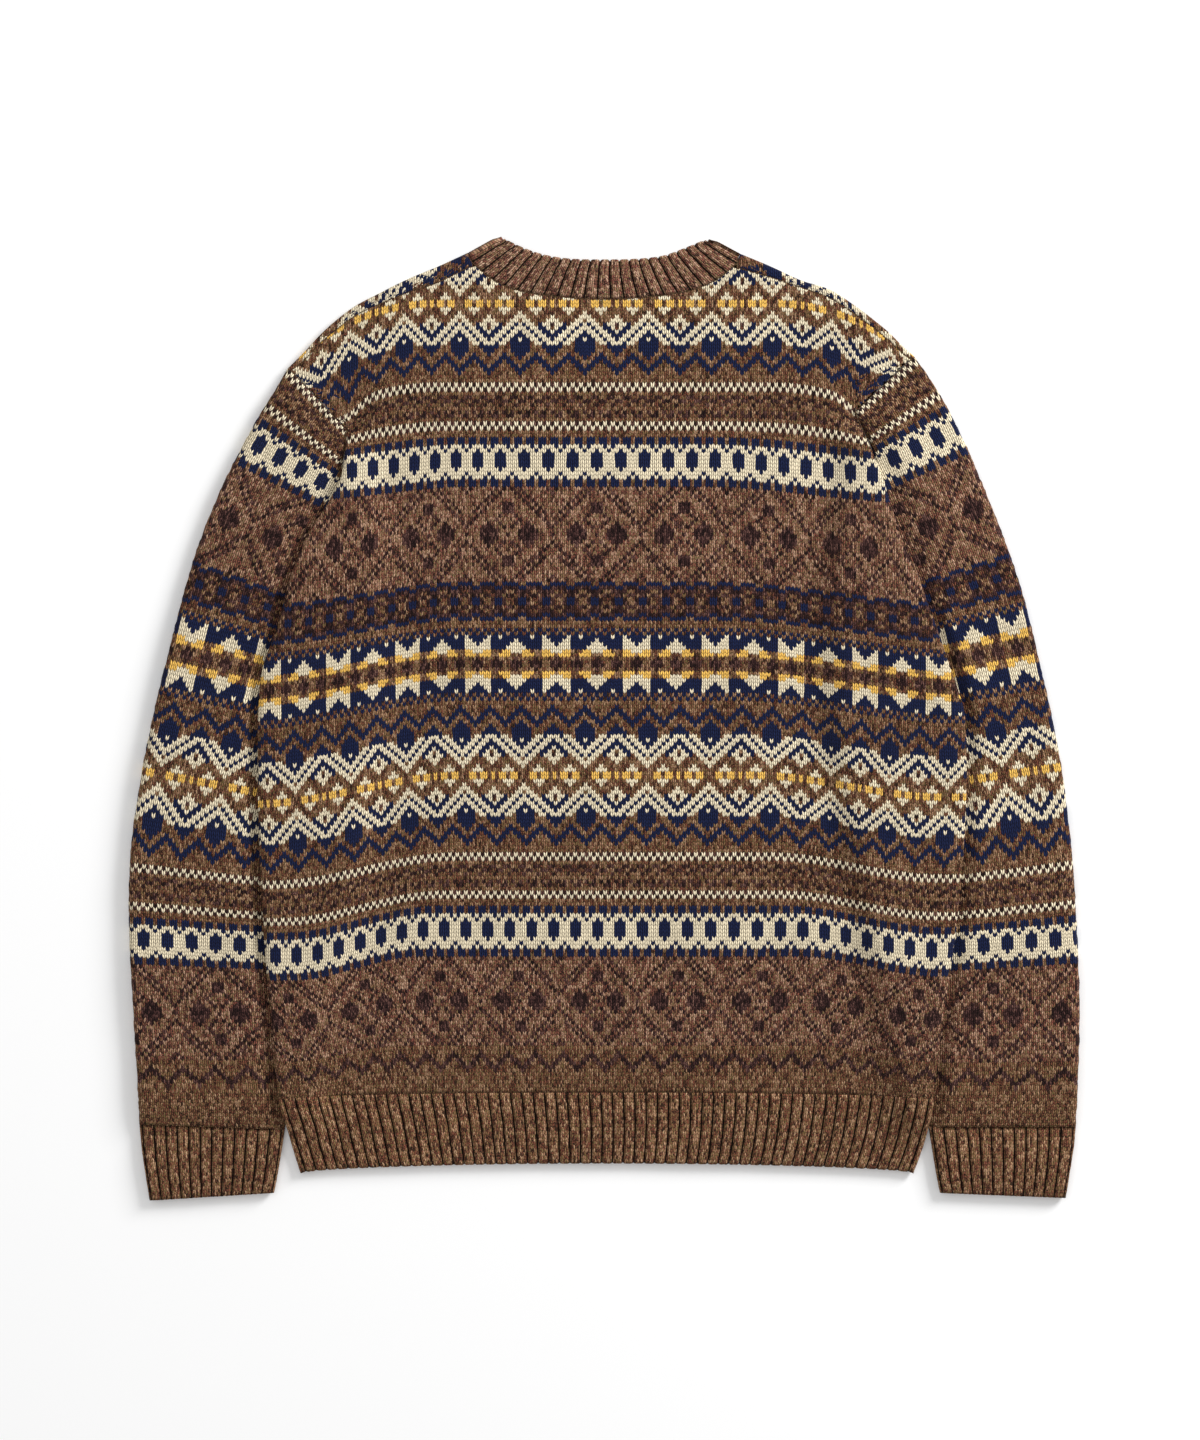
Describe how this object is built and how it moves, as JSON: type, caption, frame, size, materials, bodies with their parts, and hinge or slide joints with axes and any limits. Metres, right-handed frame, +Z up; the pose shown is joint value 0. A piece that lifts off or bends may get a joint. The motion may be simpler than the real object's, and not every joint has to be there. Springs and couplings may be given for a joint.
{
  "type": "fair isle jumper",
  "caption": "Crew-neck knitted jumper with banded stranded colourwork and ribbed collar, cuffs and hem, lying flat with its back up and its sleeves beside the body.",
  "frame": {"origin": "middle of the outline on the surface below the jumper", "axes": "+Z up from the surface through the thickness, +Y from the hem towards the collar, +X towards the wearer's right sleeve, with the back facing up"},
  "size_m": [0.748, 0.76, 0.0146],
  "materials": {
    "colourwork": "stranded wool knitting in heather brown, dark brown, navy, cream and gold",
    "rib": "ribbed wool knitting in heather brown"
  },
  "bodies": {
    "root": {"back_panel": "colourwork", "front_panel": "colourwork", "left_sleeve": "colourwork", "right_sleeve": "colourwork", "left_cuff": "rib", "right_cuff": "rib", "back_hem_rib": "rib", "front_hem_rib": "rib", "collar": "rib"}
  },
  "joints": []
}
